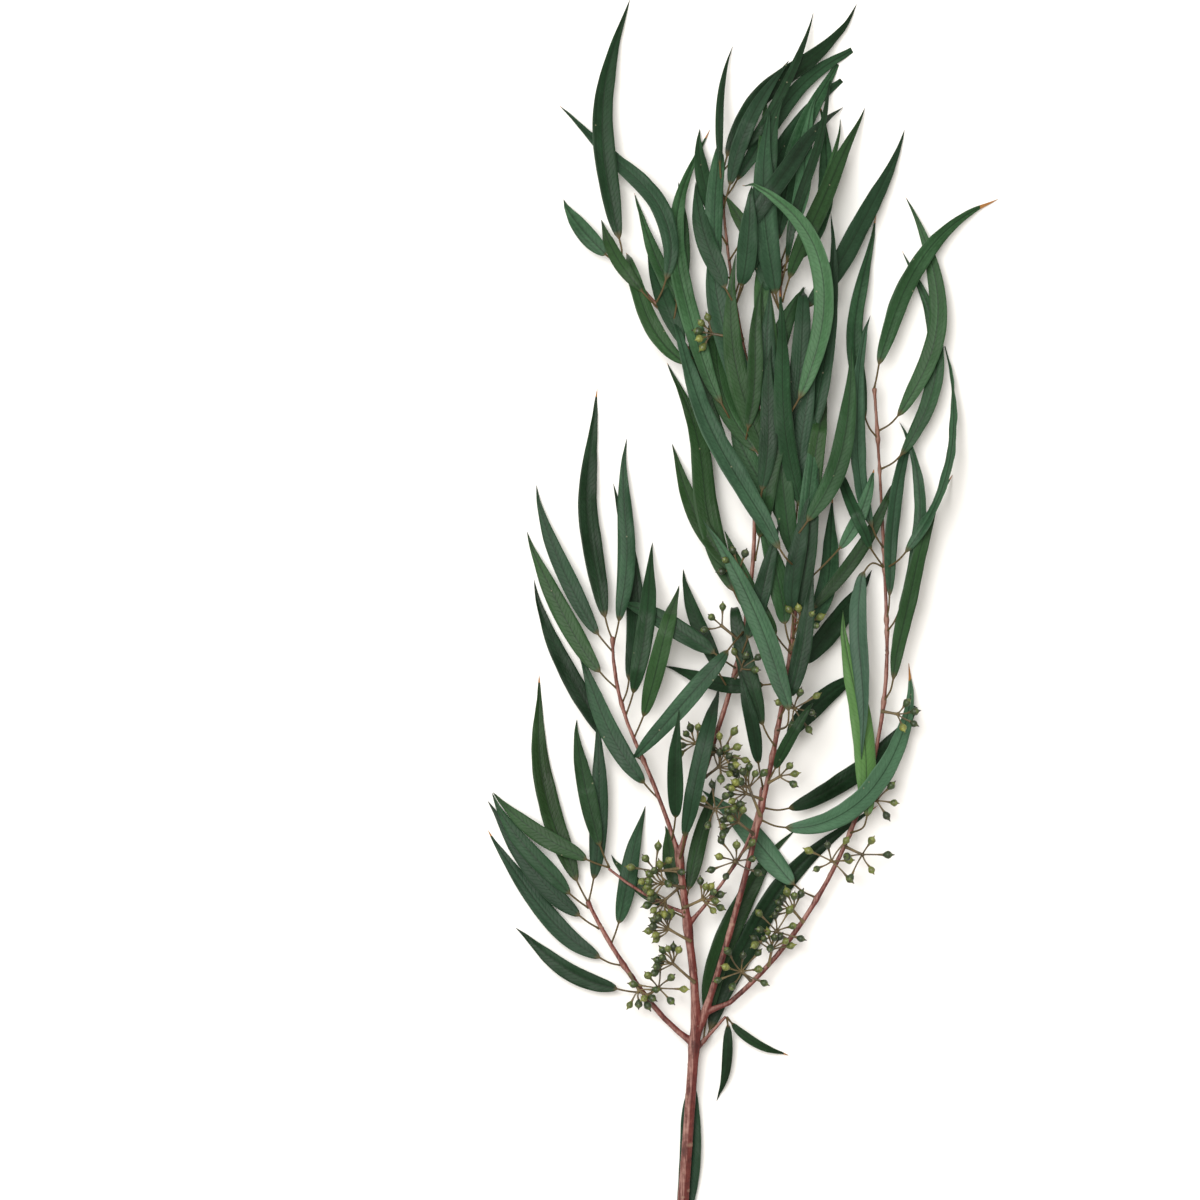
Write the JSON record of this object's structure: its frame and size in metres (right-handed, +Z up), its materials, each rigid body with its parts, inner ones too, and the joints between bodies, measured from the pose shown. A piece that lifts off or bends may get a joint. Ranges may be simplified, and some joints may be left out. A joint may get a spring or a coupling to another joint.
{
  "type": "eucalyptus branch",
  "caption": "Cut eucalyptus branch lying flat: forked red-brown stem, long sickle-shaped green leaves and clusters of small pointed buds.",
  "frame": {"origin": "on the surface that the branch lies on, under the middle of its whole outline", "axes": "+Y from the cut end of the stem to the leaf tips, +Z up from the surface, +X to the right seen from above"},
  "size_m": [0.2566, 0.642, 0.047],
  "materials": {
    "bark": "matte, fine lengthwise grain",
    "leaf": "satin, waxy, fine side veins",
    "bud": "satin, slightly ribbed cap"
  },
  "bodies": {
    "root": {"stem_and_shoots": "bark", "bud_cluster_01": "bud", "bud_cluster_02": "bud", "bud_cluster_03": "bud", "bud_cluster_04": "bud", "bud_cluster_05": "bud", "bud_cluster_06": "bud", "bud_cluster_07": "bud", "bud_cluster_08": "bud", "bud_cluster_09": "bud", "bud_cluster_10": "bud", "low_leaf_01": "leaf", "low_leaf_02": "leaf", "low_leaf_03": "leaf", "low_leaf_04": "leaf", "low_leaf_05": "leaf", "low_leaf_06": "leaf", "low_leaf_07": "leaf", "low_leaf_08": "leaf", "low_leaf_09": "leaf", "low_leaf_10": "leaf", "low_leaf_11": "leaf", "low_leaf_12": "leaf", "leaf_01": "leaf", "leaf_02": "leaf", "leaf_03": "leaf", "leaf_04": "leaf", "leaf_05": "leaf", "leaf_06": "leaf", "leaf_07": "leaf", "leaf_08": "leaf", "leaf_09": "leaf", "leaf_10": "leaf", "leaf_11": "leaf", "leaf_12": "leaf", "leaf_13": "leaf", "leaf_14": "leaf", "leaf_15": "leaf", "leaf_16": "leaf", "leaf_17": "leaf", "leaf_18": "leaf", "leaf_19": "leaf", "leaf_20": "leaf", "leaf_21": "leaf", "leaf_22": "leaf", "leaf_23": "leaf", "leaf_24": "leaf", "leaf_25": "leaf", "leaf_26": "leaf", "leaf_27": "leaf", "leaf_28": "leaf", "leaf_29": "leaf", "leaf_30": "leaf", "leaf_31": "leaf", "leaf_32": "leaf", "leaf_33": "leaf", "leaf_34": "leaf", "leaf_35": "leaf", "leaf_36": "leaf", "leaf_37": "leaf"}
  },
  "joints": []
}
